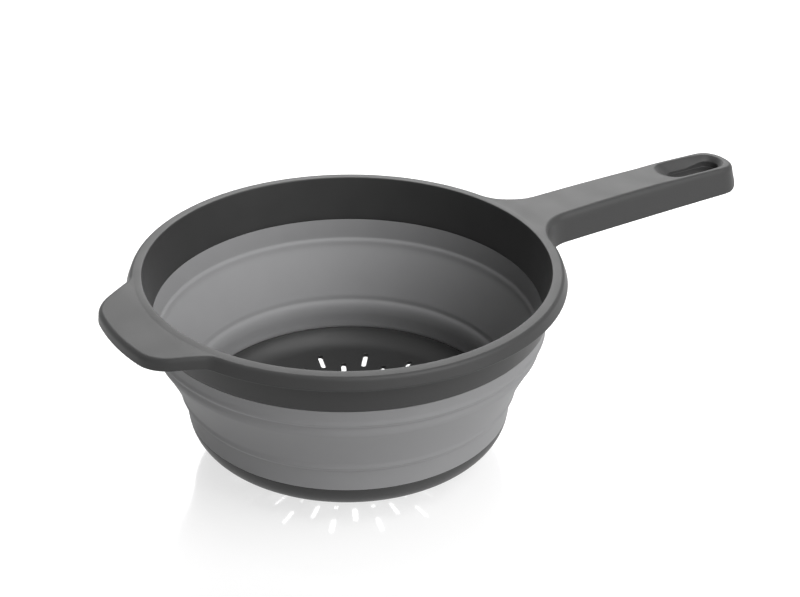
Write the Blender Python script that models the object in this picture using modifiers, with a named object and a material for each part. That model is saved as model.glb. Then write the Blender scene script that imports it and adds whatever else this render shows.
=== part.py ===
"""Collapsible colander: a rigid rim frame with handle and tab, a soft wall in three bands, a slotted base.

Lengths are in metres. Sections and outlines are drawn about the bowl's upright axis, with the handle along
+X and the tab along -X. An empty on that axis then carries every piece, so that the origin lies on the table
under the middle of the overall length. The base and the two bands that move slide along the same axis.
"""

from math import acos, asin, atan, atan2, cos, pi, radians, sin, sqrt

import bmesh
import bpy

# Heights, stacked from the table up
FLOOR_CLEARANCE = 0.0072    # table to the lowest point of the base's underside
CORNER_RADIUS = 0.0165      # outer rounding between the base's floor and its side
CORNER_LEAN = 0.0010        # the rounding's centre above the base's top edge
FLOOR_SLOPE = 0.14          # rise of the dished floor where it meets the rounding
LOWER_BAND_HEIGHT = 0.0131
MIDDLE_BAND_HEIGHT = 0.0343
UPPER_BAND_HEIGHT = 0.0113
RING_HEIGHT = 0.0239        # lower edge of the rigid ring to the mouth

# Radii, each from the one before it
BASE_RADIUS = 0.0872
MIDDLE_FLARE = 0.0125
UPPER_FLARE = 0.0011
RING_FLARE = 0.0039
RIM_WIDTH = 0.0080
TAB_REACH = 0.0183          # rim's outer edge to the tab's front edge
HANDLE_REACH = 0.1341       # rim's outer edge to the centre of the handle's round end

# Walls
SOFT_WALL = 0.0017
RING_WALL = 0.0029
BASE_WALL = 0.0022
SHELL = 0.0024              # handle and tab, which are hollow below
RIM_PLATE = 0.0030          # rim's flat top above the groove behind the lip
LIP_WALL = 0.0022
GAP = 0.0003                # between pieces that touch
WELD = 0.0004               # depth to which a joined shape enters its neighbour

# Rim
RIM_FALL = 0.0005           # the rim's flat top slopes outwards
RIM_EDGE = 0.0022           # rounding of its outer edge
SKIRT_DEPTH = 0.0068
SKIRT_LEAN = 0.0004
BOND_FALL = 0.0012          # slope of the ring's lower edge

# Handle
HANDLE_ROOT_HALF = 0.0161
HANDLE_TIP_HALF = 0.0144
HANDLE_DEPTH = 0.0137
HANDLE_DROOP = 0.0016       # extra depth at the tip
HANDLE_FLARE = 0.0016       # its sides spread downwards
HANDLE_EDGE = 0.0015
WEB_RADIUS = 0.0160         # rounding between handle and rim
WEB_FOOT_RADIUS = 0.0200    # the same at the handle's lower edge
HOLLOW_TUCK = 0.0040        # the hollows' rounding is this much tighter, which leaves a wall at their ends
STRAIGHT_SHARE = 0.10       # share of the taper that is straight, the rest grows towards the root

# Hanging slot in the handle
HANG_LENGTH = 0.0341
HANG_HALF = 0.0060
FUNNEL_HALF = 0.0117
FUNNEL_DEPTH = 0.0045
BOSS_DEPTH = 0.0120

# Tab
TAB_CORNER = 0.0150
TAB_CORNER_ANGLE = radians(9.4)
TAB_WEB = 0.0090
TAB_DEPTH = 0.0059
TAB_FALL = 0.08             # slope of the tab's top
TAB_EDGE = 0.0022

# Drain slots: the outer end of each ring of slots, and their common size
SLOT_RINGS = (0.0698, 0.0608, 0.0518, 0.0428, 0.0338)
SLOT_LENGTH = 0.0118
SLOT_HALF = 0.0014
SLOTS_PER_RING = 16
SLOT_CUT = 0.0015           # how far the cutters pass the floor's two faces

# Foot ring, and the step that holds the wall's lower edge
FOOT_RADIUS = 0.0500
FOOT_HALF = 0.0012
UPSTAND = 0.0017
UPSTAND_HEIGHT = 0.0042
OVERLAP_WALL = 0.0010
NEST = 0.0006               # height by which one band reaches into the next

STEPS = 72
OUTLINE_STEPS = 6
SHARP_ANGLE = radians(35)

# Heights worked out from the driving dimensions
CORNER_FOOT_RADIUS = BASE_RADIUS - CORNER_RADIUS + CORNER_RADIUS * sin(atan(FLOOR_SLOPE))
FLOOR_CURVE = FLOOR_SLOPE / (2 * CORNER_FOOT_RADIUS)
CORNER_CENTRE_Z = FLOOR_CLEARANCE + FLOOR_CURVE * CORNER_FOOT_RADIUS**2 + CORNER_RADIUS * cos(atan(FLOOR_SLOPE))
BASE_EDGE_Z = CORNER_CENTRE_Z - CORNER_LEAN
LOWER_CREASE_Z = BASE_EDGE_Z + LOWER_BAND_HEIGHT
UPPER_CREASE_Z = LOWER_CREASE_Z + MIDDLE_BAND_HEIGHT
RING_BOTTOM_Z = UPPER_CREASE_Z + UPPER_BAND_HEIGHT
MOUTH_Z = RING_BOTTOM_Z + RING_HEIGHT
SKIRT_Z = MOUTH_Z - SKIRT_DEPTH

# Radii worked out from the driving dimensions; each band slides inside the one above it
MIDDLE_FOOT_INNER = BASE_RADIUS + GAP
MIDDLE_TOP_INNER = MIDDLE_FOOT_INNER + MIDDLE_FLARE
UPPER_FOOT_INNER = MIDDLE_TOP_INNER + SOFT_WALL + GAP
RING_FOOT_INNER = UPPER_FOOT_INNER + UPPER_FLARE
MOUTH_RADIUS = RING_FOOT_INNER + RING_FLARE
SKIRT_RADIUS = MOUTH_RADIUS + RIM_WIDTH
TAB_RADIUS = SKIRT_RADIUS + TAB_REACH
TIP_CENTRE = SKIRT_RADIUS + HANDLE_REACH
WEB_RIM = SKIRT_RADIUS - SKIRT_LEAN - 1.5 * WELD

# The overall length runs from the tab's front edge to the handle's tip at its lower, wider edge
TIP_X = TIP_CENTRE + HANDLE_TIP_HALF + HANDLE_FLARE
AXIS_X = (TAB_RADIUS - TIP_X) / 2

PARTS = "collapsible_colander"
CUTTERS = "cutters"


def new_collection(name):
    collection = bpy.data.collections.new(name)
    bpy.context.scene.collection.children.link(collection)
    return collection


def new_material(name, colour, roughness):
    material = bpy.data.materials.new(name)
    material.use_nodes = True
    shader = material.node_tree.nodes["Principled BSDF"]
    shader.inputs["Base Color"].default_value = (*colour, 1.0)
    shader.inputs["Roughness"].default_value = roughness
    shader.inputs["Metallic"].default_value = 0.0
    return material


def place(obj, collection, axis):
    """Puts an object in its collection and hangs it on the bowl's axis."""
    bpy.data.collections[collection].objects.link(obj)
    obj.parent = axis
    if collection == CUTTERS:
        obj.hide_render = True
        obj.display_type = "WIRE"
    return obj


def turned(name, section, axis, closed=True):
    """A section of (radius, height) points, outer side downwards, turned about the bowl's axis."""
    mesh = bpy.data.meshes.new(name)
    count = len(section)
    edges = [(i, (i + 1) % count) for i in range(count if closed else count - 1)]
    mesh.from_pydata([(radius, 0.0, height) for radius, height in section], edges, [])
    obj = place(bpy.data.objects.new(name, mesh), PARTS, axis)
    screw = obj.modifiers.new("Turn", "SCREW")
    screw.axis = "Z"
    screw.angle = 2 * pi
    screw.steps = STEPS
    screw.render_steps = STEPS
    screw.use_merge_vertices = True
    screw.merge_threshold = 0.0001
    return obj


def add_loft(mesh, outlines):
    """Adds a closed solid that passes through outlines of equal point counts."""
    rings = [[mesh.verts.new(point) for point in outline] for outline in outlines]
    for upper, lower in zip(rings, rings[1:]):
        for i in range(len(upper)):
            mesh.faces.new((upper[i - 1], upper[i], lower[i], lower[i - 1]))
    mesh.faces.new(rings[0])
    mesh.faces.new(rings[-1])


def lofted(name, solids, axis):
    """One cutter or joining shape made of lofts, each a list of outlines."""
    mesh = bmesh.new()
    for outlines in solids:
        add_loft(mesh, outlines)
    bmesh.ops.recalc_face_normals(mesh, faces=mesh.faces)
    data = bpy.data.meshes.new(name)
    mesh.to_mesh(data)
    mesh.free()
    return place(bpy.data.objects.new(name, data), CUTTERS, axis)


def combine(obj, other, operation):
    boolean = obj.modifiers.new(other.name, "BOOLEAN")
    boolean.operation = operation
    boolean.solver = "EXACT"
    boolean.object = other


def finish(obj, material):
    """Applies the modifiers, shades the round faces smooth and gives the piece its material."""
    evaluated = obj.evaluated_get(bpy.context.evaluated_depsgraph_get())
    mesh = bpy.data.meshes.new_from_object(evaluated)
    obj.modifiers.clear()
    obj.data = mesh
    mesh.materials.clear()
    mesh.materials.append(material)
    mesh.shade_smooth()
    mesh.set_sharp_from_angle(angle=SHARP_ANGLE)


def arc(centre_x, centre_y, radius, start, end, steps):
    """Points of an arc from one angle to another, both ends included."""
    angles = [start + (end - start) * i / steps for i in range(steps + 1)]
    return [(centre_x + radius * cos(a), centre_y + radius * sin(a)) for a in angles]


def mirrored(half):
    """A closed outline from the half with y > 0, which ends on the X axis."""
    return half + [(x, -y) for x, y in reversed(half[:-1])]


def ring_outer(height):
    """Outer radius of the ring's wall at a height."""
    share = (height - RING_BOTTOM_Z) / RING_HEIGHT
    return RING_FOOT_INNER + RING_WALL + RING_FLARE * share


def with_wall_end(half, radius):
    """Closes an outline inside the ring's wall, with an arc about the bowl's axis."""
    angle = atan2(half[0][1], abs(half[0][0]))
    side = 1 if half[0][0] > 0 else -1
    inner = arc(0, 0, radius, 0, angle, OUTLINE_STEPS)[1:]
    return [(side * x, y) for x, y in inner] + half


def handle_outline(grow, rim, web, wall_end):
    """The handle's plan: a web rounding out of the rim, a tapering side and a round end."""
    root_run = TIP_CENTRE - SKIRT_RADIUS

    def half_width(x):
        share = (TIP_CENTRE - x) / root_run
        taper = STRAIGHT_SHARE * share + (1 - STRAIGHT_SHARE) * share**2
        return HANDLE_TIP_HALF + grow + (HANDLE_ROOT_HALF - HANDLE_TIP_HALF) * taper

    web_x = rim + web
    for _ in range(20):
        web_y = half_width(web_x) + web
        web_x = sqrt((rim + web) ** 2 - web_y**2)
    from_rim = pi + atan2(web_y, web_x)
    half = arc(web_x, web_y, web, from_rim, 1.5 * pi, OUTLINE_STEPS)
    run = TIP_CENTRE - web_x
    side = [web_x + run * i / OUTLINE_STEPS for i in range(1, OUTLINE_STEPS)]
    half += [(x, half_width(x)) for x in side]
    half += arc(TIP_CENTRE, 0, HANDLE_TIP_HALF + grow, pi / 2, 0, OUTLINE_STEPS)
    return mirrored(with_wall_end(half, wall_end))


def tab_outline(grow, web, wall_end):
    """The tab's plan: a web rounding out of the rim, a round corner and a front about the bowl's axis."""
    rim = WEB_RIM + grow
    corner = TAB_CORNER + grow
    corner_reach = TAB_RADIUS - TAB_CORNER
    web_reach = rim + web
    cosine = (corner_reach**2 + web_reach**2 - (corner + web) ** 2) / (2 * corner_reach * web_reach)
    web_angle = TAB_CORNER_ANGLE + acos(cosine)
    web_x, web_y = web_reach * cos(web_angle), web_reach * sin(web_angle)
    corner_x, corner_y = corner_reach * cos(TAB_CORNER_ANGLE), corner_reach * sin(TAB_CORNER_ANGLE)
    towards_web = atan2(web_y - corner_y, web_x - corner_x)
    half = arc(web_x, web_y, web, pi + web_angle, pi + towards_web + 2 * pi * (towards_web < 0), OUTLINE_STEPS)
    half += arc(corner_x, corner_y, corner, towards_web, TAB_CORNER_ANGLE, OUTLINE_STEPS)[1:]
    half += arc(0, 0, TAB_RADIUS + grow, TAB_CORNER_ANGLE, 0, OUTLINE_STEPS)[1:]
    return mirrored(with_wall_end([(-x, y) for x, y in half], wall_end))


def at_height(outline, height, fall=0.0, hinge=0.0):
    """Lifts a plan outline to a height that falls by a slope beyond a hinge line across X."""
    return [(x, y, height - fall * (abs(x) - hinge)) for x, y in outline]


def stadium(centre_x, run, half, angle, height):
    """A round-ended slot along the direction of an angle from the bowl's axis."""
    outline = arc(centre_x + run / 2, 0, half, -pi / 2, pi / 2, 4)
    outline += arc(centre_x - run / 2, 0, half, pi / 2, 1.5 * pi, 4)
    return [(x * cos(angle) - y * sin(angle), x * sin(angle) + y * cos(angle), height) for x, y in outline]


def rounded_levels(top, edge):
    """(height, growth) of the levels that round off a top edge."""
    angles = [radians(a) for a in (0, 45, 90)]
    return [(top - edge * (1 - cos(a)), -edge * (1 - sin(a))) for a in angles]


def ring_section():
    """The ring's wall, the rim's flat top and the lip turned down round it."""
    top_outer = SKIRT_RADIUS - RIM_EDGE
    groove_top = MOUTH_Z - RIM_FALL - RIM_PLATE
    lip_inner = SKIRT_RADIUS - LIP_WALL
    return [
        (MOUTH_RADIUS, MOUTH_Z),
        (top_outer, MOUTH_Z - RIM_FALL),
        (SKIRT_RADIUS - SKIRT_LEAN - 0.3 * RIM_EDGE, MOUTH_Z - RIM_FALL - 0.3 * RIM_EDGE),
        (SKIRT_RADIUS - SKIRT_LEAN, MOUTH_Z - RIM_FALL - RIM_EDGE),
        (SKIRT_RADIUS, SKIRT_Z),
        (lip_inner, SKIRT_Z),
        (lip_inner - SKIRT_LEAN, groove_top),
        (ring_outer(groove_top), groove_top),
        (ring_outer(RING_BOTTOM_Z), RING_BOTTOM_Z),
        (RING_FOOT_INNER, RING_BOTTOM_Z - BOND_FALL),
    ]


def handle_levels(wall_inset):
    """The handle's outlines from its top down, or those of the hollow inside it."""
    solid = wall_inset == 0
    wall_reach = -RING_WALL / 2 if solid else WELD
    tuck = 0 if solid else HOLLOW_TUCK
    top = MOUTH_Z - RIM_FALL - WELD / 2 - wall_inset
    foot = MOUTH_Z - RIM_FALL - HANDLE_DEPTH
    levels = rounded_levels(top, HANDLE_EDGE) if solid else [(top, 0.0)]
    levels.append((SKIRT_Z + WELD, HANDLE_FLARE * (top - SKIRT_Z) / (top - foot)))
    outlines = []
    for height, growth in levels:
        grow = growth - wall_inset
        plan = handle_outline(grow, WEB_RIM + grow, WEB_RADIUS - grow - tuck, ring_outer(height) + wall_reach)
        outlines.append(at_height(plan, height))
    web = WEB_FOOT_RADIUS + wall_inset - tuck
    plan = handle_outline(HANDLE_FLARE - wall_inset, ring_outer(foot) + WELD, web, ring_outer(foot) + wall_reach)
    slope = HANDLE_DROOP / HANDLE_REACH
    outlines.append(at_height(plan, foot if solid else foot - SHELL, slope, SKIRT_RADIUS))
    return outlines


def tab_levels(wall_inset):
    """The tab's outlines from its top down, or those of the hollow inside it."""
    solid = wall_inset == 0
    wall_reach = -RING_WALL / 2 if solid else WELD
    tuck = 0 if solid else HOLLOW_TUCK
    top = MOUTH_Z - RIM_FALL - WELD - wall_inset
    levels = rounded_levels(top, TAB_EDGE) if solid else [(top, 0.0)]
    levels.append((top - TAB_DEPTH if solid else SKIRT_Z - SHELL, 0.0))
    outlines = []
    for height, growth in levels:
        grow = growth - wall_inset
        plan = tab_outline(grow, TAB_WEB - grow - tuck, ring_outer(height) + wall_reach)
        outlines.append(at_height(plan, height, TAB_FALL, MOUTH_RADIUS))
    return outlines


def hang_levels(levels):
    """A slot along the handle through levels of (half width, height)."""
    centre = TIP_CENTRE + HANG_HALF - HANG_LENGTH / 2
    run = HANG_LENGTH - 2 * HANG_HALF
    return [stadium(centre, run, half, 0.0, height) for half, height in levels]


def make_frame(axis):
    obj = turned("rim_frame", ring_section(), axis)
    top = MOUTH_Z - RIM_FALL
    funnel_rise = WELD * (FUNNEL_HALF - HANG_HALF) / FUNNEL_DEPTH
    below = top - HANDLE_DEPTH - HANDLE_DROOP - SHELL
    boss_half = (FUNNEL_HALF + HANDLE_TIP_HALF - SHELL) / 2
    boss = [(boss_half, top - SHELL / 2), (boss_half, top - BOSS_DEPTH)]
    funnel = [
        (FUNNEL_HALF + funnel_rise, top + WELD),
        (HANG_HALF, top - FUNNEL_DEPTH),
        (HANG_HALF, below),
    ]
    combine(obj, lofted("handle_solid", [handle_levels(0)], axis), "UNION")
    combine(obj, lofted("tab_solid", [tab_levels(0)], axis), "UNION")
    combine(obj, lofted("handle_hollow", [handle_levels(SHELL)], axis), "DIFFERENCE")
    combine(obj, lofted("tab_hollow", [tab_levels(SHELL)], axis), "DIFFERENCE")
    combine(obj, lofted("hang_boss", [hang_levels(boss)], axis), "UNION")
    combine(obj, lofted("hang_slot", [hang_levels(funnel)], axis), "DIFFERENCE")
    return obj


def make_upper_band(axis):
    top = RING_BOTTOM_Z - GAP
    section = [
        (RING_FOOT_INNER, top - BOND_FALL),
        (RING_FOOT_INNER + RING_WALL, top),
        (UPPER_FOOT_INNER + SOFT_WALL, UPPER_CREASE_Z),
        (UPPER_FOOT_INNER, UPPER_CREASE_Z),
    ]
    return turned("wall_upper_band", section, axis)


def make_middle_band(axis):
    section = [
        (MIDDLE_TOP_INNER, UPPER_CREASE_Z + NEST),
        (MIDDLE_TOP_INNER + SOFT_WALL, UPPER_CREASE_Z + NEST),
        (MIDDLE_FOOT_INNER + SOFT_WALL, LOWER_CREASE_Z),
        (MIDDLE_FOOT_INNER, LOWER_CREASE_Z),
    ]
    return turned("wall_middle_band", section, axis)


def make_lower_band(axis):
    step_radius = BASE_RADIUS - UPSTAND - GAP
    shelf = BASE_EDGE_Z - UPSTAND_HEIGHT + GAP
    section = [
        (BASE_RADIUS - SOFT_WALL, LOWER_CREASE_Z + NEST),
        (BASE_RADIUS, LOWER_CREASE_Z + NEST),
        (BASE_RADIUS, BASE_EDGE_Z + GAP),
        (step_radius, BASE_EDGE_Z + GAP),
        (step_radius, shelf),
        (step_radius - OVERLAP_WALL, shelf),
    ]
    return turned("wall_lower_band", section, axis)


def floor_under(radius):
    """Height of the dished floor's underside."""
    return FLOOR_CLEARANCE + FLOOR_CURVE * radius**2


def base_section():
    """The base from the middle of its upper face, round its edge, to the middle of its underside."""
    centre = BASE_RADIUS - CORNER_RADIUS
    inner_radius = CORNER_RADIUS - BASE_WALL
    shelf = BASE_EDGE_Z - UPSTAND_HEIGHT
    floor_angle = -pi / 2 + atan(FLOOR_SLOPE)
    shelf_angle = -asin((CORNER_CENTRE_Z - shelf) / inner_radius)
    edge_angle = -asin(CORNER_LEAN / CORNER_RADIUS)
    mid_floor = FOOT_RADIUS / 2
    upper = [(radius, floor_under(radius) + BASE_WALL) for radius in (0.0, mid_floor, FOOT_RADIUS)]
    inner_arc = arc(centre, CORNER_CENTRE_Z, inner_radius, floor_angle, shelf_angle, 4)
    step = [(BASE_RADIUS - UPSTAND, shelf), (BASE_RADIUS - UPSTAND, BASE_EDGE_Z)]
    outer_arc = arc(centre, CORNER_CENTRE_Z, CORNER_RADIUS, edge_angle, floor_angle, 5)
    foot_outer, foot_inner = FOOT_RADIUS + FOOT_HALF, FOOT_RADIUS - FOOT_HALF
    foot = [
        (foot_outer, floor_under(foot_outer)),
        (foot_outer, 0.0),
        (foot_inner, 0.0),
        (foot_inner, floor_under(foot_inner)),
    ]
    lower = [(mid_floor, floor_under(mid_floor)), (0.0, floor_under(0.0))]
    return upper + inner_arc + step + outer_arc + foot + lower


def drain_slots():
    """Rings of radial slots, each ring turned half a pitch from the next."""
    pitch = 2 * pi / SLOTS_PER_RING
    slots = []
    for ring, outer in enumerate(SLOT_RINGS):
        inner = outer - SLOT_LENGTH
        top = floor_under(outer) + BASE_WALL + SLOT_CUT
        bottom = floor_under(inner) - SLOT_CUT
        for i in range(SLOTS_PER_RING):
            angle = pitch * (i + 0.25 + 0.5 * (ring % 2))
            plan = ((outer + inner) / 2, SLOT_LENGTH - 2 * SLOT_HALF, SLOT_HALF, angle)
            slots.append([stadium(*plan, top), stadium(*plan, bottom)])
    return slots


def make_base(axis):
    obj = turned("base_strainer", base_section(), axis, closed=False)
    combine(obj, lofted("drain_slots", drain_slots(), axis), "DIFFERENCE")
    return obj


def main():
    for obj in list(bpy.data.objects):
        bpy.data.objects.remove(obj)
    new_collection(PARTS)
    new_collection(CUTTERS)
    axis = bpy.data.objects.new("bowl_axis", None)
    axis.location = (AXIS_X, 0.0, 0.0)
    bpy.data.collections[PARTS].objects.link(axis)

    rigid = new_material("dark grey polypropylene", (0.13, 0.13, 0.135), 0.45)
    base_rigid = new_material("dark grey polypropylene base", (0.12, 0.12, 0.125), 0.45)
    soft = new_material("light grey silicone", (0.36, 0.365, 0.375), 0.55)
    pieces = [
        (make_frame(axis), rigid),
        (make_upper_band(axis), soft),
        (make_middle_band(axis), soft),
        (make_lower_band(axis), soft),
        (make_base(axis), base_rigid),
    ]
    bpy.context.view_layer.update()
    for obj, material in pieces:
        finish(obj, material)


main()
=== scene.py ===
from math import acos, asin, atan, atan2, cos, degrees, pi, radians, sin, sqrt

import bmesh
import bpy
from mathutils import Matrix, Vector


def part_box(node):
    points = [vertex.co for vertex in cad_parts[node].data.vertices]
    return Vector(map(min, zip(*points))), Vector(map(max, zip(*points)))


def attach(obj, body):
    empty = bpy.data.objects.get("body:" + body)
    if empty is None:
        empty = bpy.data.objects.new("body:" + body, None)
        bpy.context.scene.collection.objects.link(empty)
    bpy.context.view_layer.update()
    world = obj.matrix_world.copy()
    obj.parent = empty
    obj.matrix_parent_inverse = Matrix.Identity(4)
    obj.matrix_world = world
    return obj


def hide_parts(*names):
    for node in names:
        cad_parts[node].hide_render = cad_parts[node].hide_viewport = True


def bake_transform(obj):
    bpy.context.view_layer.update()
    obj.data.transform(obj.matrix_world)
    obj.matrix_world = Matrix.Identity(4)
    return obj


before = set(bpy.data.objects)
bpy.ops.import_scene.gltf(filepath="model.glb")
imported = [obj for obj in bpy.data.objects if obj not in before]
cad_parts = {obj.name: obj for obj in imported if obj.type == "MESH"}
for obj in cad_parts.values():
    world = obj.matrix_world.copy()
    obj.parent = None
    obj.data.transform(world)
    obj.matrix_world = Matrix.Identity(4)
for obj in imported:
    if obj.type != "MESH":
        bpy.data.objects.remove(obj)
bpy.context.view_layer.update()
mm = 0.001
mergeDistance = 1e-6    # in metres, verts closer than this are one
planeDistance = 1e-7    # in metres, verts closer than this to a cutting plane lie on it

# The bowl's upright axis and the mouth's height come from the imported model, and other sizes are in mm
bandLow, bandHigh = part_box("wall_upper_band")
axisX = (bandLow.x + bandHigh.x) / 2
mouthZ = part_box("rim_frame")[1].z / mm
# The heights of the wall, the base and the camera are written for this mouth, and standZ raises them to
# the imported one
drawnMouthZ = 108.05
standZ = mouthZ - drawnMouthZ
print("frame loaded, mouth at", round(mouthZ, 2), "mm, bowl axis at", round(axisX / mm, 2), "mm")


# Small helpers for meshes
def smoothStep(share):
    share = min(max(share, 0.0), 1.0)
    return share * share * (3 - 2 * share)


def below(level, point):
    # (radius, depth below a level) to (radius, height)
    return point[0], level - point[1]


def arcPoints(centre, radius, start, end, steps):
    # points of an arc in a section, angles in degrees, both ends included
    turns = [radians(start + (end - start) * i / steps) for i in range(steps + 1)]
    return [(centre[0] + radius * cos(t), centre[1] + radius * sin(t)) for t in turns]


def bowedLine(start, end, sag, steps):
    # a line in a section that bulges by sag at its middle, both ends included
    run, rise = end[0] - start[0], end[1] - start[1]
    length = sqrt(run * run + rise * rise)
    points = []
    for i in range(steps + 1):
        t = i / steps
        push = 4 * sag * t * (1 - t)
        points.append((start[0] + run * t - rise / length * push,
                       start[1] + rise * t + run / length * push))
    return points


def stadiumPlan(near, far, half, steps, runSteps=1):
    # plan of a slot along X, anticlockwise with its far end first, and runSteps to each straight side
    plan = []
    for centre, other, side in ((far, near, 1), (near, far, -1)):
        turns = [-side * pi / 2 + pi * i / steps for i in range(steps + 1)]
        plan += [(centre + half * cos(t), half * sin(t)) for t in turns]
        plan += [(centre + (other - centre) * i / runSteps, side * half) for i in range(1, runSteps)]
    return plan


def addChain(bm, points, closed=False):
    verts = [bm.verts.new(point) for point in points]
    following = verts[1:] + verts[:1] if closed else verts[1:]
    edges = [bm.edges.new(pair) for pair in zip(verts, following)]
    return verts, edges


def spinSection(bm, section, steps, closed):
    # turns a section of (radius, height) points all the way round the bowl's axis
    verts, edges = addChain(bm, [(r * mm, 0.0, z * mm) for r, z in section], closed)
    bmesh.ops.spin(bm, geom=verts + edges, cent=(0, 0, 0), axis=(0, 0, 1), dvec=(0, 0, 0),
                   angle=2 * pi, steps=steps, use_merge=True, use_duplicate=False)


def ringOfVerts(bm, radius, height):
    # the spun verts at one point of the section, in order of their angle
    found = [v for v in bm.verts if abs(v.co.z - height * mm) < mergeDistance
             and abs(v.co.xy.length - radius * mm) < mergeDistance]
    return sorted(found, key=lambda v: atan2(v.co.y, v.co.x) % (2 * pi))


def loopEdges(bm, loop):
    return [bm.edges.get(pair) for pair in zip(loop, loop[1:] + loop[:1])]


def edgesAlong(bm, verts):
    return [bm.edges.get(pair) for pair in zip(verts, verts[1:])]


def extrudeLoop(bm, loop, places):
    # extrudes a closed loop of verts and moves the new loop to its places, which are in mm
    extruded = bmesh.ops.extrude_edge_only(bm, edges=loopEdges(bm, loop))["geom"]
    made = {v for v in extruded if isinstance(v, bmesh.types.BMVert)}
    fresh = [next(e.other_vert(v) for e in v.link_edges if e.other_vert(v) in made) for v in loop]
    for vert, place in zip(fresh, places):
        vert.co = Vector(place) * mm
    return fresh


def fillPatch(bm, edges, reaches):
    # fills a flat patch and cuts lines across it at each reach, so that it can follow a curve along X
    filled = bmesh.ops.triangle_fill(bm, use_beauty=True, use_dissolve=False, edges=edges, normal=(0, 0, 1))
    faces = [g for g in filled["geom"] if isinstance(g, bmesh.types.BMFace)]
    for reach in reaches:
        faces = [f for f in faces if f.is_valid]
        geom = faces + list({e for f in faces for e in f.edges}) + list({v for f in faces for v in f.verts})
        cut = bmesh.ops.bisect_plane(bm, geom=geom, dist=planeDistance, plane_co=(reach * mm, 0, 0),
                                     plane_no=(1, 0, 0))
        made = {g for g in cut["geom"] if isinstance(g, bmesh.types.BMFace)}
        faces = list({f for f in faces if f.is_valid} | made)


def addObject(name, data):
    made = bpy.data.objects.new(name, data)
    bpy.context.scene.collection.objects.link(made)
    return made


def finishPiece(bm, name, material, sharpAngle):
    # moves the mesh onto the bowl's axis, closes it, turns its faces out and makes it an object
    bmesh.ops.remove_doubles(bm, verts=bm.verts, dist=mergeDistance)
    bmesh.ops.translate(bm, vec=(axisX, 0, 0), verts=bm.verts)
    bmesh.ops.recalc_face_normals(bm, faces=bm.faces)
    openEdges = sum(not e.is_manifold for e in bm.edges)
    mesh = bpy.data.meshes.new(name)
    bm.to_mesh(mesh)
    bm.free()
    piece = addObject(name, mesh)
    mesh.materials.append(material)
    mesh.shade_smooth()
    mesh.set_sharp_from_angle(angle=radians(sharpAngle))
    print(name, "made,", len(mesh.polygons), "faces,", openEdges, "open edges")
    return piece


# Materials
def fromHex(code):
    # sRGB hex to the linear colour that the shader reads
    parts = [int(code[i:i + 2], 16) / 255 for i in (1, 3, 5)]
    return (*[c / 12.92 if c <= 0.04045 else ((c + 0.055) / 1.055) ** 2.4 for c in parts], 1.0)


def emptyTree(owner):
    owner.use_nodes = True
    owner.node_tree.nodes.clear()
    return owner.node_tree


def addNode(tree, kind, values={}, links={}, **settings):
    node = tree.nodes.new(kind)
    for name, value in settings.items():
        setattr(node, name, value)
    for socket, value in values.items():
        node.inputs[socket].default_value = value
    for socket, source in links.items():
        tree.links.new(source, node.inputs[socket])
    return node


# What the two moulded materials share: how finely the cloudiness and the grain break up, and the band of
# cloud that shows
mouldedFace = {
    "cloudDetail": 3.0, "cloudRoughness": 0.5, "cloudLow": 0.3, "cloudHigh": 0.7,
    "grainDetail": 2.0, "grainRoughness": 0.6,
}


def mouldedMaterial(name, look):
    # an evenly coloured moulding, with faint cloudiness in its colour and gloss, and the fine grain of the
    # mould's face
    material = bpy.data.materials.new(name)
    tree = emptyTree(material)
    place = addNode(tree, "ShaderNodeTexCoord").outputs["Object"]
    cloud = addNode(tree, "ShaderNodeTexNoise",
                    {"Scale": 1 / (look["cloudSize"] * mm), "Detail": mouldedFace["cloudDetail"],
                     "Roughness": mouldedFace["cloudRoughness"]}, {"Vector": place}).outputs["Fac"]
    grain = addNode(tree, "ShaderNodeTexNoise",
                    {"Scale": 1 / (look["grainSize"] * mm), "Detail": mouldedFace["grainDetail"],
                     "Roughness": mouldedFace["grainRoughness"]}, {"Vector": place}).outputs["Fac"]
    colour = addNode(tree, "ShaderNodeMix",
                     {"A": fromHex(look["colourLow"]), "B": fromHex(look["colourHigh"])},
                     {"Factor": cloud}, data_type="RGBA")
    gloss = addNode(tree, "ShaderNodeMapRange",
                    {"From Min": mouldedFace["cloudLow"], "From Max": mouldedFace["cloudHigh"],
                     "To Min": look["roughness"] - look["roughnessSpread"],
                     "To Max": look["roughness"] + look["roughnessSpread"]}, {"Value": cloud})
    bump = addNode(tree, "ShaderNodeBump",
                   {"Strength": look["grainStrength"], "Distance": look["grainDepth"] * mm},
                   {"Height": grain})
    shader = addNode(tree, "ShaderNodeBsdfPrincipled",
                     {"Metallic": 0.0, "Specular IOR Level": look["gloss"], "Sheen Weight": look["sheen"]},
                     {"Base Color": colour.outputs["Result"], "Roughness": gloss.outputs["Result"],
                      "Normal": bump.outputs["Normal"]})
    addNode(tree, "ShaderNodeOutputMaterial", links={"Surface": shader.outputs["BSDF"]})
    return material


# Polypropylene off a finely spark-eroded mould: satin dark grey with a soft, broad highlight. The real
# grain is about 0.1 mm, drawn coarser so that it shows
polypropyleneLook = {
    "colourLow": "#353535", "colourHigh": "#393939", "roughness": 0.42, "roughnessSpread": 0.03,
    "gloss": 0.25, "sheen": 0.0,
    "cloudSize": 18.0, "grainSize": 0.45, "grainStrength": 0.12, "grainDepth": 0.05,
}
# Silicone moulded in a matt tool: light grey, softer and duller than the plastic, with a faint powdery
# bloom. Its grain is drawn coarser as well
siliconeLook = {
    "colourLow": "#8a8a8b", "colourHigh": "#8f8f90", "roughness": 0.58, "roughnessSpread": 0.04,
    "gloss": 0.2, "sheen": 0.06,
    "cloudSize": 14.0, "grainSize": 0.6, "grainStrength": 0.1, "grainDepth": 0.05,
}
polypropylene = mouldedMaterial("satin moulded polypropylene, dark grey", polypropyleneLook)
silicone = mouldedMaterial("matt moulded silicone, light grey", siliconeLook)
print("materials made")


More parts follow.
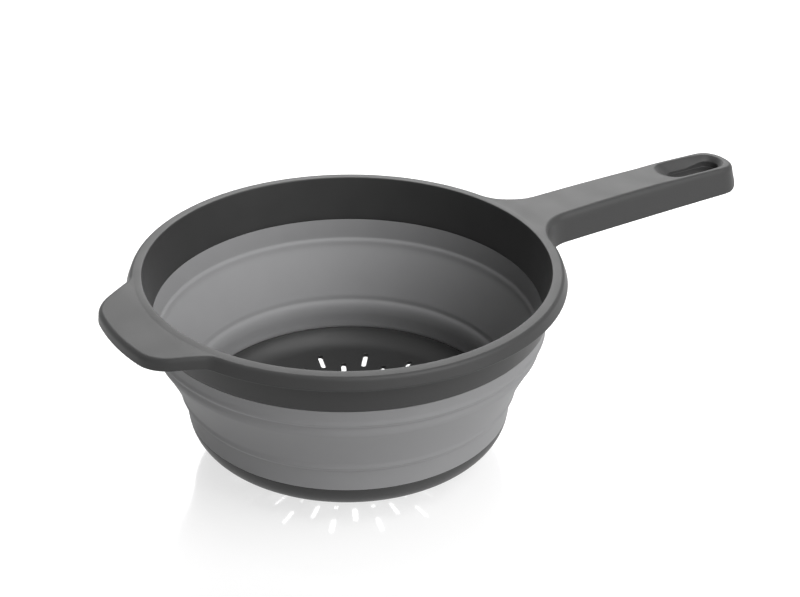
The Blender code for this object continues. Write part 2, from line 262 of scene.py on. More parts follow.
# Rim frame: ring, rim, handle and tab in one moulding
rimFrame = {
    "steps": 360,           # one vert to a degree
    "sharpAngle": 38,
    "plateDrop": 0.25,      # mouth to the level of the rim's, the handle's and the tab's top
    "plateRadius": 111.2,   # where the rim's slope has run out
    "rimRadius": 113.8, "skirtDrop": 6.5, "underDrop": 3.2, "underRadius": 112.0, "wall": 2.3,
    # the ring's section as (radius, depth below the mouth), or below the rim's underside for the first two
    "underCentre": (110.3, 1.4), "outsideTop": (108.86, 2.2), "outsideFoot": (106.08, 23.35),
    "foot": [(106.0, 23.67), (105.75, 23.85), (105.3, 24.0), (103.6, 24.95), (103.35, 25.0),
             (103.17, 24.93), (103.14, 24.7)],
    "insideFoot": (103.2, 23.85), "insideTop": (106.93, 0.9), "lipCentre": (107.58, 0.62),
    "lipSlope": [(108.3, 0.03), (109.4, 0.09), (110.4, 0.17), (110.85, 0.21)],
    # radius and turn in degrees of the two small arcs in that section
    "underArc": (1.4, 90, 176), "lipArc": (0.6, 172, 96), "arcSteps": 5, "ringSteps": 10,
    # the rim's edge: width and height of its rounded top, flat beside it, and how far its side flares out
    "rimEdge": 2.5, "rimFall": 1.75, "rimFlat": 0.4, "rimFlare": 1.6,
    # the whole edge from the top down: steps of the rounding, shares of its side, then round its foot as
    # (inset from the side, height above the foot), and shares of the way up inside to the underside
    "edgeSteps": 7, "sideShares": (0.15, 0.35, 0.6, 0.85, 1.0), "footRound": 0.5,
    "footLevels": [(0.04, 0.3), (0.15, 0.13), (0.5, 0.0), (1.8, 0.0), (2.05, 0.08), (2.2, 0.4)],
    "insideShares": (0.5, 1.0),
}
handle = {
    # half widths at the root and at the centre of the tip, with some straight taper and the rest curved
    "rootReach": 115.0, "rootHalf": 16.14, "tipCentre": 249.8, "tipHalf": 14.4, "straightShare": -0.12,
    "bluntness": 2.3,       # power of the tip's outline, where 2 is round
    "tipSteps": 20, "sideSteps": 32,
    # web into the rim: the whole degree where it ends, a first guess of where it starts, rounds to settle
    # that, and the share of it along which the handle's foot keeps its depth
    "webAngle": 17.0, "webSteps": 16, "webGuess": 127.0, "webRounds": 40, "footHold": 0.5,
    # its top edge is rounded over (width, height), less beside the hanging slot
    "edge": 3.8, "fall": 4.2, "slotEdge": 2.7, "slotFall": 3.6, "slotFrom": 200.0, "slotRun": 22.0,
    "flat": 0.2,            # between the rounding and the middle of its top
    # depth of its side and how far that flares out, both growing towards the tip
    "footDrop": 15.4, "droop": 1.1, "flare": 1.5, "tipFlare": 2.0,
    # its lower end is rounded off over this length, up to this sine of its turn, and only this share of the
    # foot's inset counts there
    "toe": 10.4, "toeTurn": 0.92, "toeShare": 0.3,
    # its top arches along its length from the level of the rim's top: rise at a reach, slope there, bend
    "archReach": 120.0, "rise": 0.7, "slope": 0.021, "bend": -2.624e-4, "riseFrom": 107.0, "riseRun": 13.0,
    "levelDepth": 12.5, "levelRun": 9.0,    # the arch has faded out at this depth, over this height
    # start, spacing and number of the lines across its top and underside
    "rootLines": (113.0, 1.5, 12), "shaftLines": (134.0, 4.0, 31),
}
hangSlot = {
    "steps": 16, "runSteps": 8,
    # down to the ledge, every depth shrinks by this share towards the tip, and less the deeper it is
    "ledge": 6.0, "shallow": 0.74, "runOut": 236.0, "runOutLength": 16.0,
    # (half width, depth below the handle's top, near centre, far centre): crest, funnel, ledge, slot, and
    # the boss below
    "levels": [(11.0, 0.0, 222.6, 249.2), (10.8, 0.04, 222.7, 249.2), (10.4, 0.18, 222.8, 249.3),
               (9.95, 0.45, 222.9, 249.4), (9.5, 0.85, 223.2, 249.5), (7.0, 3.95, 226.2, 249.9),
               (6.55, 4.4, 226.7, 250.0), (6.2, 4.75, 226.9, 250.0), (6.03, 5.1, 227.0, 250.0),
               (6.0, 5.5, 227.0, 250.0), (6.0, 6.2, 227.0, 250.0), (5.9, 6.35, 227.0, 250.0),
               (5.55, 6.42, 227.0, 250.0), (5.45, 6.6, 227.0, 250.0), (5.45, 12.2, 227.0, 250.0),
               (5.6, 12.45, 227.0, 250.0), (5.9, 12.5, 227.0, 250.0), (7.8, 12.5, 227.0, 249.8),
               (8.0, 12.3, 227.0, 249.8), (8.6, 6.2, 226.4, 249.6), (10.4, 3.0, 224.0, 249.2)],
}
tab = {
    # plan: a round corner, a straight flank and a web into the rim
    "front": 133.0, "corner": 23.0, "cornerAngle": 9.4, "web": 10.0, "flankAngle": 61.2,
    "webSteps": 10, "flankSteps": 6, "cornerSteps": 14, "frontSteps": 10,
    "edge": 2.4, "flat": 0.4, "footDrop": 6.1, "flare": 0.3,
    # its top falls by this slope, which sets in over a run past the hinge
    "fall": 0.08, "hinge": 105.0, "hingeRun": 9.0, "hingeSteps": 8,
}
plateZ = mouthZ - rimFrame["plateDrop"]
# The edge's rounding, the flat beside it, its flare and its foot, round the rim and round the tab
rimFacts = {"edge": rimFrame["rimEdge"], "fall": rimFrame["rimFall"], "flat": rimFrame["rimFlat"],
            "flare": rimFrame["rimFlare"], "foot": plateZ - rimFrame["skirtDrop"]}
tabFacts = {"edge": tab["edge"], "fall": tab["edge"], "flat": tab["flat"], "flare": tab["flare"],
            "foot": plateZ - tab["footDrop"]}


def ringSection(underZ):
    # from the rim's underside down the ring's outside, round its foot and up its inside to the rim's top
    look = rimFrame
    section = [(look["underRadius"], underZ)]
    section += arcPoints(below(underZ, look["underCentre"]), *look["underArc"], look["arcSteps"])
    section += bowedLine(below(underZ, look["outsideTop"]), below(mouthZ, look["outsideFoot"]), 0.0,
                         look["ringSteps"])
    section += [below(mouthZ, point) for point in look["foot"]]
    section += bowedLine(below(mouthZ, look["insideFoot"]), below(mouthZ, look["insideTop"]), 0.0,
                         look["ringSteps"])
    section += arcPoints(below(mouthZ, look["lipCentre"]), *look["lipArc"], look["arcSteps"])
    section += [below(mouthZ, point) for point in look["lipSlope"]]
    return section + [(look["plateRadius"], plateZ)]


def handleHalf(u):
    share = (handle["tipCentre"] - u) / (handle["tipCentre"] - handle["rootReach"])
    straight = handle["straightShare"]
    taper = straight * share + (1 - straight) * share ** 2
    return handle["tipHalf"] + (handle["rootHalf"] - handle["tipHalf"]) * taper


def handleLean(u):
    # slope of the handle's side in plan, taken over 1 mm
    return handleHalf(u + 0.5) - handleHalf(u - 0.5)


def handleFacts(u):
    # the handle's own edge facts at a distance along it
    along = (u - handle["rootReach"]) / (handle["tipCentre"] - handle["rootReach"])
    narrow = smoothStep((u - handle["slotFrom"]) / handle["slotRun"])
    return {
        "edge": handle["edge"] + (handle["slotEdge"] - handle["edge"]) * narrow,
        "fall": handle["fall"] + (handle["slotFall"] - handle["fall"]) * narrow,
        "flat": handle["flat"],
        "flare": handle["flare"] + (handle["tipFlare"] - handle["flare"]) * along,
        "foot": plateZ - handle["footDrop"] - handle["droop"] * along,
    }


def handleLift(x):
    # how far the handle's arched top stands above the rim's top
    past = x - handle["archReach"]
    arch = handle["rise"] + handle["slope"] * past + handle["bend"] * past ** 2
    return arch * smoothStep((x - handle["riseFrom"]) / handle["riseRun"])


def mixFacts(one, other, share):
    return {key: one[key] + (other[key] - one[key]) * share for key in one}


def outlinePoint(x, y, nx, ny, facts):
    return {"x": x, "y": y, "nx": nx, "ny": ny, **facts}


def webIntoRim():
    # radius of the web that touches the handle's side and the rim, and how far out it leaves the side
    webTurn, start = radians(handle["webAngle"]), handle["webGuess"]
    for _ in range(handle["webRounds"]):
        lean = handleLean(start)
        norm = sqrt(1 + lean * lean)
        web = (rimFrame["rimRadius"] * sin(webTurn) - handleHalf(start)) / (1 / norm - sin(webTurn))
        start = (rimFrame["rimRadius"] + web) * cos(webTurn) + web * lean / norm
    return web, start


def handleOutline():
    # from the middle of the handle's tip along its side and round the web to the rim
    points = []
    power = 2 / handle["bluntness"]
    for i in range(handle["tipSteps"] + 1):
        turn = pi / 2 * i / handle["tipSteps"]
        x = handle["tipCentre"] + handle["tipHalf"] * abs(cos(turn)) ** power
        y = handle["tipHalf"] * abs(sin(turn)) ** power
        points.append(outlinePoint(x, y, cos(turn), sin(turn), handleFacts(x)))
    web, sideEnd = webIntoRim()
    run = handle["tipCentre"] - sideEnd
    for i in range(1, handle["sideSteps"] + 1):
        u = handle["tipCentre"] - run * i / handle["sideSteps"]
        norm = sqrt(1 + handleLean(u) ** 2)
        points.append(outlinePoint(u, handleHalf(u), -handleLean(u) / norm, 1 / norm, handleFacts(u)))
    webTurn = radians(handle["webAngle"])
    webX, webY = [(rimFrame["rimRadius"] + web) * part for part in (cos(webTurn), sin(webTurn))]
    start = atan2(-1, handleLean(sideEnd)) % (2 * pi)
    hold = handle["footHold"]
    for i in range(1, handle["webSteps"] + 1):
        share = i / handle["webSteps"]
        turn = start + (pi + webTurn - start) * i / handle["webSteps"]
        facts = mixFacts(handleFacts(sideEnd), rimFacts, smoothStep(share))
        # the handle's foot keeps its depth until it has almost met the rim
        late = mixFacts(handleFacts(sideEnd), rimFacts, smoothStep((share - hold) / (1 - hold)))
        facts["foot"] = late["foot"]
        x, y = webX + web * cos(turn), webY + web * sin(turn)
        points.append(outlinePoint(x, y, -cos(turn), -sin(turn), facts))
    return points


def tabRoot():
    # the angle at which the tab's web leaves the rim, so that the flank touches the web and the corner
    flank, cornerTurn = radians(tab["flankAngle"]), radians(tab["cornerAngle"])
    span = (tab["front"] - tab["corner"]) * cos(flank - cornerTurn) + tab["corner"] + tab["web"]
    return flank - acos(span / (rimFrame["rimRadius"] + tab["web"]))


def tabOutline():
    # round the web, along the straight flank, round the corner and along the front to its middle
    points = []
    flank, cornerTurn, tabTurn = radians(tab["flankAngle"]), radians(tab["cornerAngle"]), tabRoot()
    web, corner = tab["web"], tab["corner"]
    webX, webY = [(rimFrame["rimRadius"] + web) * part for part in (cos(tabTurn), sin(tabTurn))]
    cornerX, cornerY = [(tab["front"] - corner) * part for part in (cos(cornerTurn), sin(cornerTurn))]
    blendSteps = tab["webSteps"] + tab["flankSteps"]
    for i in range(1, tab["webSteps"] + 1):
        turn = pi + tabTurn + (flank - tabTurn) * i / tab["webSteps"]
        facts = mixFacts(rimFacts, tabFacts, smoothStep(i / blendSteps))
        x, y = -webX - web * cos(turn), webY + web * sin(turn)
        points.append(outlinePoint(x, y, cos(turn), -sin(turn), facts))
    startX, startY = webX - web * cos(flank), webY - web * sin(flank)
    endX, endY = cornerX + corner * cos(flank), cornerY + corner * sin(flank)
    for i in range(1, tab["flankSteps"]):
        share = i / tab["flankSteps"]
        facts = mixFacts(rimFacts, tabFacts, smoothStep((tab["webSteps"] + i) / blendSteps))
        x, y = -startX - (endX - startX) * share, startY + (endY - startY) * share
        points.append(outlinePoint(x, y, -cos(flank), sin(flank), facts))
    for i in range(tab["cornerSteps"] + 1):
        turn = flank + (cornerTurn - flank) * i / tab["cornerSteps"]
        x, y = -cornerX - corner * cos(turn), cornerY + corner * sin(turn)
        points.append(outlinePoint(x, y, -cos(turn), sin(turn), tabFacts))
    for i in range(1, tab["frontSteps"] + 1):
        turn = cornerTurn * (1 - i / tab["frontSteps"])
        x, y = -tab["front"] * cos(turn), tab["front"] * sin(turn)
        points.append(outlinePoint(x, y, -cos(turn), sin(turn), tabFacts))
    return points


def frameOutline():
    # the plan of rim, handle and tab where their side starts, from the handle's tip all the way round, and
    # the first and last point of the bare rim on its first half
    half = handleOutline()
    rimStart = len(half) - 1
    webTurn, tabTurn, radius = radians(handle["webAngle"]), tabRoot(), rimFrame["rimRadius"]
    rimSteps = round(180 - degrees(tabTurn) - handle["webAngle"])
    for i in range(1, rimSteps + 1):
        turn = webTurn + (pi - tabTurn - webTurn) * i / rimSteps
        half.append(outlinePoint(radius * cos(turn), radius * sin(turn), cos(turn), sin(turn), rimFacts))
    rimEnd = len(half) - 1
    half += tabOutline()
    other = [{**p, "y": -p["y"], "ny": -p["ny"]} for p in reversed(half[1:-1])]
    return half + other, rimStart, rimEnd


def placeAt(point, grow, height):
    return point["x"] + point["nx"] * grow, point["y"] + point["ny"] * grow, height


def toeRise(point, grow):
    # how far the rounding of the handle's lower end lifts the foot
    toe = handle["toe"]
    start = handle["tipCentre"] + handle["tipHalf"] + handle["tipFlare"] - toe
    past = point["x"] + point["nx"] * grow - start
    if past <= 0:
        return 0.0
    return toe * (1 - sqrt(1 - (handle["toeTurn"] * min(past / toe, 1.0)) ** 2))


def footAt(point, inset):
    return point["foot"] + toeRise(point, point["flare"] - inset * handle["toeShare"])


def edgeLevels(outline, underZ):
    # the edge all the way round, one list of places to each level, from the top's flat to the underside
    look = rimFrame
    levels = [[placeAt(p, -p["edge"], plateZ) for p in outline]]
    for i in range(1, look["edgeSteps"] + 1):
        places = []
        for p in outline:
            # the rounding ends at the slope of the side below it
            full = atan2(plateZ - p["fall"] - p["foot"], p["flare"])
            turn = full * i / look["edgeSteps"]
            inset, drop = 1 - sin(turn) / sin(full), (1 - cos(turn)) / (1 - cos(full))
            places.append(placeAt(p, -p["edge"] * inset, plateZ - p["fall"] * drop))
        levels.append(places)
    for share in look["sideShares"]:
        places = []
        for p in outline:
            grow = p["flare"] * share
            start, end = plateZ - p["fall"], p["foot"] + toeRise(p, grow) + look["footRound"]
            places.append(placeAt(p, grow, start + (end - start) * share))
        levels.append(places)
    for inset, rise in look["footLevels"]:
        levels.append([placeAt(p, p["flare"] - inset, footAt(p, inset) + rise) for p in outline])
    inset, rise = look["footLevels"][-1]
    for share in look["insideShares"]:
        places = []
        for p in outline:
            start = footAt(p, inset) + rise
            grow = (p["flare"] - inset) * (1 - share) - look["wall"] * share
            places.append(placeAt(p, grow, start + (underZ - start) * share))
        levels.append(places)
    return levels


def hangSlotLevel(half, drop, near, far):
    look = hangSlot
    shallow = look["shallow"] * (1 - drop / (2 * look["ledge"])) if drop < look["ledge"] else 0.0
    return [(x, y, plateZ - drop * (1 - shallow * smoothStep((x - look["runOut"]) / look["runOutLength"])))
            for x, y in stadiumPlan(near, far, half, look["steps"], look["runSteps"])]


def fillPlate(bm, ring, edge, hole, rimStart, rimEnd):
    # the flat top or underside between the ring and the edge: round the rim, then the handle, then the tab
    count, around = len(edge), rimFrame["steps"]
    firstDegree = round(handle["webAngle"])
    lastDegree = firstDegree + rimEnd - rimStart
    handleEnds, tabEnds = [], []
    for side in (1, -1):
        ringArc = [ring[(side * k) % around] for k in range(firstDegree, lastDegree + 1)]
        edgeArc = [edge[(side * k) % count] for k in range(rimStart, rimEnd + 1)]
        for k in range(len(ringArc) - 1):
            bm.faces.new((ringArc[k], ringArc[k + 1], edgeArc[k + 1], edgeArc[k]))
        handleEnds.append(bm.edges.get((ringArc[0], edgeArc[0])))
        tabEnds.append(bm.edges.get((ringArc[-1], edgeArc[-1])))
    root = [ring[k % around] for k in range(-firstDegree, firstDegree + 1)]
    shaft = [edge[k % count] for k in range(-rimStart, rimStart + 1)]
    lines = [start + gap * k for start, gap, number in (handle["rootLines"], handle["shaftLines"])
             for k in range(number)]
    fillPatch(bm, edgesAlong(bm, root) + edgesAlong(bm, shaft) + handleEnds + loopEdges(bm, hole), lines)
    root = [ring[k] for k in range(lastDegree, around + 1 - lastDegree)]
    front = [edge[k] for k in range(rimEnd, count - rimEnd + 1)]
    lines = [-tab["hinge"] - tab["hingeRun"] * k / tab["hingeSteps"]
             for k in range(1, tab["hingeSteps"] + 1)]
    fillPatch(bm, edgesAlong(bm, root) + edgesAlong(bm, front) + tabEnds, lines)


def bendTops(bm):
    # arches the handle's top and lets the tab fall towards its front
    for v in bm.verts:
        x, depth = v.co.x / mm, plateZ - v.co.z / mm
        if x > handle["riseFrom"]:
            v.co.z += handleLift(x) * smoothStep((handle["levelDepth"] - depth) / handle["levelRun"]) * mm
        past = -x - tab["hinge"]
        if past > 0:
            soft, straight = min(past, tab["hingeRun"]), max(past - tab["hingeRun"], 0)
            v.co.z -= tab["fall"] * (soft * soft / (2 * tab["hingeRun"]) + straight) * mm


def makeRimFrame():
    bm = bmesh.new()
    underZ = plateZ - rimFrame["underDrop"]
    spinSection(bm, ringSection(underZ), rimFrame["steps"], closed=False)
    upper = ringOfVerts(bm, rimFrame["plateRadius"], plateZ)
    under = ringOfVerts(bm, rimFrame["underRadius"], underZ)

    outline, rimStart, rimEnd = frameOutline()
    topPlaces = [placeAt(p, -p["edge"] - p["flat"], plateZ) for p in outline]
    top, _ = addChain(bm, [Vector(place) * mm for place in topPlaces], closed=True)
    bottom = top
    for places in edgeLevels(outline, underZ):
        bottom = extrudeLoop(bm, bottom, places)

    # the hanging slot, from the crest at the top round to its boss below
    slotLevels = [hangSlotLevel(*level) for level in hangSlot["levels"]]
    crest, _ = addChain(bm, [Vector(place) * mm for place in slotLevels[0]], closed=True)
    boss = crest
    for places in slotLevels[1:]:
        boss = extrudeLoop(bm, boss, places)

    for ring, edge, hole in ((upper, top, crest), (under, bottom, boss)):
        fillPlate(bm, ring, edge, hole, rimStart, rimEnd)
    bendTops(bm)
    return finishPiece(bm, "rimFrame", polypropylene, rimFrame["sharpAngle"])


framePiece = makeRimFrame()
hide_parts("rim_frame")
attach(framePiece, "frame")


# Folding wall: three soft bands in one moulding
foldingWall = {
    "steps": 300, "sharpAngle": 40,
    "outerTop": (105.95, 84.1),
    # outside, a rounded lip over a narrow groove at each crease
    "upperCrease": [(104.8, 77.6), (104.95, 76.8), (105.08, 76.0), (105.05, 75.3), (104.8, 74.7),
                    (104.3, 74.15), (103.6, 73.55), (103.15, 72.8), (103.0, 72.0), (103.05, 71.2),
                    (103.1, 70.2), (102.95, 69.0), (102.5, 67.4)],
    "lowerCrease": [(91.3, 44.2), (91.0, 43.2), (90.95, 42.3), (90.98, 41.4), (90.9, 40.6), (90.5, 39.8),
                    (89.85, 39.1), (89.2, 38.5), (88.88, 37.7), (88.85, 36.8)],
    "outerFoot": (87.25, 25.55),
    "step": [(87.1, 25.45), (85.9, 25.42), (85.6, 25.2), (85.55, 21.5), (85.45, 21.3), (85.1, 21.25)],
    # inside, the dark lower band leans out a little, over it a broad round bead and a soft groove
    "innerFoot": [(84.95, 21.5), (85.05, 23.0), (85.0, 26.0), (84.88, 28.6), (84.8, 30.0), (84.82, 31.4),
                  (84.92, 32.8), (85.1, 34.1), (85.4, 35.4), (85.85, 36.5), (86.45, 37.4), (87.05, 38.0),
                  (87.4, 38.7), (87.5, 39.6), (87.62, 40.6), (87.9, 41.6), (88.35, 42.7)],
    # inside, a small raised bead with a ledge on top
    "innerCrease": [(99.0, 66.6), (99.45, 67.6), (99.75, 68.5), (99.95, 69.3), (100.15, 70.1),
                    (100.5, 70.8), (101.0, 71.3), (101.4, 71.7), (101.62, 72.3), (101.7, 73.1)],
    "innerTop": (103.12, 82.95), "topEdge": [(103.25, 83.02), (105.7, 84.1)],
    # how far each band bulges outside and inside, and its steps
    "upperBand": (-0.1, 6), "middleBand": (-0.5, 20), "lowerBand": (-0.15, 8),
    "innerMiddleBand": (0.5, 20), "innerUpperBand": (0.1, 5),
    # the heights of the upper and the lower crease
    "foldTop": 72.85, "foldFoot": 38.55,
}


def makeFoldingWall():
    bm = bmesh.new()
    look = foldingWall
    section = bowedLine(look["outerTop"], look["upperCrease"][0], *look["upperBand"])
    section += look["upperCrease"][1:]
    section += bowedLine(look["upperCrease"][-1], look["lowerCrease"][0], *look["middleBand"])[1:]
    section += look["lowerCrease"][1:]
    section += bowedLine(look["lowerCrease"][-1], look["outerFoot"], *look["lowerBand"])[1:]
    section += look["step"] + look["innerFoot"]
    section += bowedLine(look["innerFoot"][-1], look["innerCrease"][0], *look["innerMiddleBand"])[1:]
    section += look["innerCrease"][1:]
    section += bowedLine(look["innerCrease"][-1], look["innerTop"], *look["innerUpperBand"])[1:]
    section += look["topEdge"]
    spinSection(bm, [(r, z + standZ) for r, z in section], look["steps"], closed=True)
    return finishPiece(bm, "foldingWall", silicone, look["sharpAngle"])


wallPiece = makeFoldingWall()
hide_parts("wall_upper_band", "wall_middle_band", "wall_lower_band")
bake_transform(wallPiece)


# Strainer base: dished floor with radial slots
strainerBase = {
    "steps": 288, "sharpAngle": 38, "radius": 87.2, "edgeZ": 25.4, "wall": 2.2,
    # the round corner between the floor and the edge, and the degrees by which it stops short of level
    # on its outside
    "corner": 16.5, "cornerCentre": (70.7, 26.45), "cornerStop": 4.3, "insideSteps": 10, "outsideSteps": 16,
    # inside, the step that the wall stands on, and the small chamfers there and at the edge
    "step": (85.5, 21.2), "stepChamfer": 0.15, "edgeChamfer": (0.25, 0.3),
    # the dished floor: lowest height, slope where it meets the corner, and the radii of its section
    "lowest": 5.0, "slope": 0.14, "spacing": 6, "floorReach": 66, "underReaches": (68, 62, 57),
    "underInside": 42,
    # the foot ring: middle, half width, its fillets as (distance from its side, depth below the floor),
    # and its toe as (distance, height)
    "footRadius": 50.0, "footHalf": 1.2,
    "footTop": [(0.8, 0.0), (0.2, 0.3), (0.0, 1.0)], "footToe": [(0.0, 0.5), (-0.15, 0.15), (-0.5, 0.0)],
    "tableReach": 1.0,      # points lower than this stay on the table
}
drainSlots = {
    "ends": [69.8, 60.8, 51.8, 42.8, 33.8], "length": 11.8, "half": 1.4, "steps": 6,
    # the slots of one ring, its turn as a share of their spacing, and the further turn of every second ring
    "perRing": 16, "turnShare": 0.25, "stagger": 0.5,
    "bevel": 0.3, "bevelSteps": 3, "clear": 1.0,    # the cutters stand this far clear of the floor's faces
}


def floorUnder(radius):
    look = strainerBase
    reach = look["cornerCentre"][0] + look["corner"] * sin(atan(look["slope"]))
    return look["lowest"] + look["slope"] / (2 * reach) * radius ** 2


def footSide(radius, out):
    # one side of the foot ring from the floor down to the table, where out is 1 outside and -1 inside
    look = strainerBase
    top = [(radius + out * grow, floorUnder(radius) - drop) for grow, drop in look["footTop"]]
    return top + [(radius + out * grow, height) for grow, height in look["footToe"]]


def makeStrainerBase():
    look = strainerBase
    bm = bmesh.new()
    lean = atan(look["slope"])
    low = -90 + lean * 180 / pi
    insideRadius = look["corner"] - look["wall"]
    (stepRadius, stepZ), (edgeIn, edgeDrop) = look["step"], look["edgeChamfer"]
    stepTurn = -asin((look["cornerCentre"][1] - stepZ) / insideRadius) * 180 / pi
    section = [(r, floorUnder(r) + look["wall"]) for r in range(0, look["floorReach"] + 1, look["spacing"])]
    section += arcPoints(look["cornerCentre"], insideRadius, low, stepTurn, look["insideSteps"])
    section += [(stepRadius - look["stepChamfer"], stepZ), (stepRadius, stepZ + look["stepChamfer"]),
                (stepRadius, look["edgeZ"] - edgeDrop), (stepRadius + edgeIn, look["edgeZ"]),
                (look["radius"] - edgeIn, look["edgeZ"])]
    section += arcPoints(look["cornerCentre"], look["corner"], -look["cornerStop"], low,
                         look["outsideSteps"])
    section += [(r, floorUnder(r)) for r in look["underReaches"]]
    section += footSide(look["footRadius"] + look["footHalf"], 1)
    section += footSide(look["footRadius"] - look["footHalf"], -1)[::-1]
    section += [(r, floorUnder(r)) for r in range(look["underInside"], -1, -look["spacing"])]
    raised = [(r, z if z < look["tableReach"] else z + standZ) for r, z in section]
    spinSection(bm, raised, look["steps"], closed=False)
    return finishPiece(bm, "strainerBase", polypropylene, look["sharpAngle"])


def makeSlotCutters():
    # one stadium cutter for each slot, wider at the floor's two faces so that the slot's rims are rounded
    look = drainSlots
    bm = bmesh.new()
    half, bevel = look["half"], look["bevel"]
    turns = [pi / 2 * k / look["bevelSteps"] for k in range(look["bevelSteps"] + 1)]
    # (growth of the half width, depth below a face of the floor)
    rims = [(bevel, -look["clear"])] + [(bevel * (1 - sin(t)), bevel * (1 - cos(t))) for t in turns]
    for ring, end in enumerate(look["ends"]):
        near, far = end - look["length"] + half, end - half
        for i in range(look["perRing"]):
            upper, lower = [], []
            for grow, depth in rims:
                plan = stadiumPlan(near, far, half + grow, look["steps"])
                floor = [(x, y, standZ + floorUnder(sqrt(x * x + y * y))) for x, y in plan]
                upper.append([(x, y, z + strainerBase["wall"] - depth) for x, y, z in floor])
                lower.insert(0, [(x, y, z + depth) for x, y, z in floor])
            turn = 2 * pi / look["perRing"] * (i + look["turnShare"] + look["stagger"] * (ring % 2))
            rotation = Matrix.Rotation(turn, 3, "Z")
            levels = [[rotation @ Vector(point) for point in level] for level in upper + lower]
            loop, edges = addChain(bm, [point * mm for point in levels[0]], closed=True)
            bmesh.ops.contextual_create(bm, geom=edges)
            for level in levels[1:]:
                loop = extrudeLoop(bm, loop, level)
            bmesh.ops.contextual_create(bm, geom=loopEdges(bm, loop))
    return finishPiece(bm, "slotCutters", polypropylene, strainerBase["sharpAngle"])


def cutSlots(piece, cutters):
    cut = piece.modifiers.new("slots", "BOOLEAN")
    cut.operation, cut.solver, cut.object = "DIFFERENCE", "EXACT", cutters
    evaluated = piece.evaluated_get(bpy.context.evaluated_depsgraph_get())
    slotted = bpy.data.meshes.new_from_object(evaluated)
    piece.modifiers.clear()
    piece.data = slotted
    bpy.data.objects.remove(cutters)
    slotted.shade_smooth()
    slotted.set_sharp_from_angle(angle=radians(strainerBase["sharpAngle"]))
    print("base slotted,", len(slotted.polygons), "faces")


basePiece = makeStrainerBase()
cutSlots(basePiece, makeSlotCutters())
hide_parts("base_strainer")
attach(basePiece, "base")


# Floor, light and camera
studio = {
    "floorSize": 8.0,       # in metres
    "floorSeen": "#a3a3a3", "floorColour": "#cccccc", "floorGlow": 0.7,
    "floorRoughness": 0.11, "floorIor": 1.7, "skyLight": 0.01,
    # factor, azimuth, elevation and spread of each soft light, where factor 1 shows a facing white at full
    # white
    "lights": {
        "key softbox": (0.31, -55, 45, 40), "side softbox": (0.21, -60, 20, 40),
        "front softbox": (0.34, -95, 35, 40), "back softbox": (0.46, 57, 36, 40),
        "top softbox": (0.35, -75, 70, 40),
    },
}
cameraLook = {
    "place": (-409.5, -681.4, 528.7),       # from the bowl's axis, and raised by standZ
    "azimuth": 57.01, "pitch": 29.04, "roll": 0.39,
    "lens": 77.21, "sensor": 36.0, "clip": (0.05, 50.0),
}


def seenDirectly(tree):
    # 1 for what the camera sees, straight, in a reflection or through glass, and 0 for the object's light
    path = addNode(tree, "ShaderNodeLightPath")
    total = path.outputs["Is Camera Ray"]
    for kind in ("Is Glossy Ray", "Is Transmission Ray"):
        total = addNode(tree, "ShaderNodeMath", links={0: total, 1: path.outputs[kind]}, operation="ADD",
                        use_clamp=True).outputs[0]
    return total


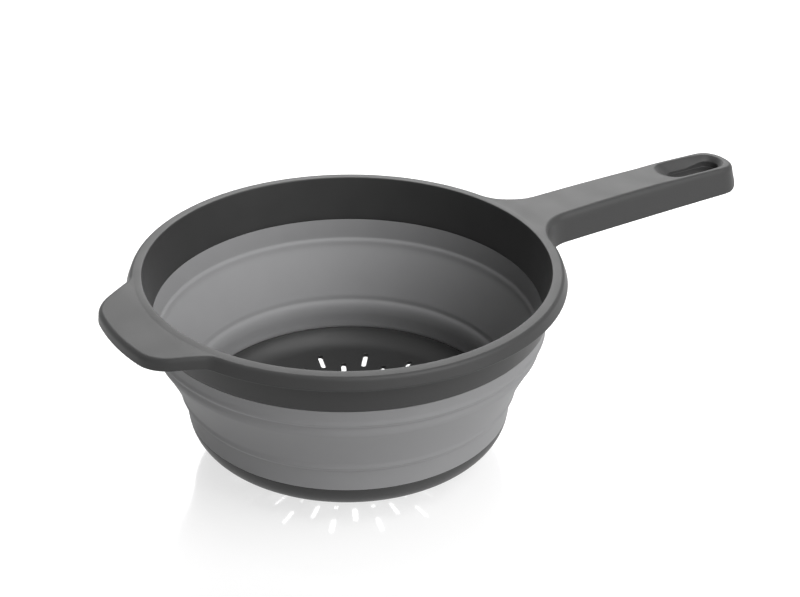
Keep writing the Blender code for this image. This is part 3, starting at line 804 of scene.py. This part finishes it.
def makeFloor():
    # glossy white acrylic sheet, which shows white to the camera and still takes the object's shadow
    material = bpy.data.materials.new("glossy white acrylic table")
    tree = emptyTree(material)
    seen = seenDirectly(tree)
    glow = addNode(tree, "ShaderNodeMath", {1: studio["floorGlow"]}, {0: seen}, operation="MULTIPLY")
    colour = addNode(tree, "ShaderNodeMix",
                     {"A": fromHex(studio["floorColour"]), "B": fromHex(studio["floorSeen"])},
                     {"Factor": seen}, data_type="RGBA")
    shader = addNode(tree, "ShaderNodeBsdfPrincipled",
                     {"Roughness": studio["floorRoughness"], "IOR": studio["floorIor"],
                      "Emission Color": (1, 1, 1, 1)},
                     {"Base Color": colour.outputs["Result"], "Emission Strength": glow.outputs[0]})
    addNode(tree, "ShaderNodeOutputMaterial", links={"Surface": shader.outputs["BSDF"]})
    bm = bmesh.new()
    bmesh.ops.create_grid(bm, x_segments=1, y_segments=1, size=studio["floorSize"] / 2)
    mesh = bpy.data.meshes.new("floor")
    bm.to_mesh(mesh)
    bm.free()
    mesh.materials.append(material)
    addObject("floor", mesh)


def addSun(name, factor, azimuth, elevation, spread):
    # a distant soft light
    data = bpy.data.lights.new(name, "SUN")
    data.energy, data.angle = factor * pi, radians(spread)
    turn, rise = radians(azimuth), radians(elevation)
    towards = Vector((cos(turn) * cos(rise), sin(turn) * cos(rise), sin(rise)))
    addObject(name, data).rotation_euler = towards.to_track_quat("Z", "Y").to_euler()


def makeSky():
    # white where it is seen, and almost no light of its own
    world = bpy.data.worlds.new("white studio")
    bpy.context.scene.world = world
    tree = emptyTree(world)
    strength = addNode(tree, "ShaderNodeMapRange", {"To Min": studio["skyLight"], "To Max": 1.0},
                       {"Value": seenDirectly(tree)})
    sky = addNode(tree, "ShaderNodeBackground", {"Color": (1, 1, 1, 1)},
                  {"Strength": strength.outputs["Result"]})
    addNode(tree, "ShaderNodeOutputWorld", links={"Surface": sky.outputs["Background"]})


def makeCamera():
    # the photo's angle
    look = cameraLook
    data = bpy.data.cameras.new("camera")
    data.sensor_fit, data.sensor_width, data.lens = "HORIZONTAL", look["sensor"], look["lens"]
    data.clip_start, data.clip_end = look["clip"]
    turn, dip, roll = (radians(look[key]) for key in ("azimuth", "pitch", "roll"))
    forward = Vector((cos(turn) * cos(dip), sin(turn) * cos(dip), -sin(dip)))
    right = forward.cross(Vector((0, 0, 1))).normalized()
    up = right.cross(forward)
    sideways, upwards = cos(roll) * right + sin(roll) * up, cos(roll) * up - sin(roll) * right
    facing = Matrix((sideways, upwards, -forward)).transposed().to_4x4()
    place = Vector(look["place"]) * mm + Vector((axisX, 0, standZ * mm))
    camera = addObject("camera", data)
    camera.matrix_world = Matrix.Translation(place) @ facing
    bpy.context.scene.camera = camera


makeFloor()
for name, light in studio["lights"].items():
    addSun(name, *light)
makeSky()
makeCamera()
bpy.context.scene.view_settings.view_transform = "Standard"
print("studio made")
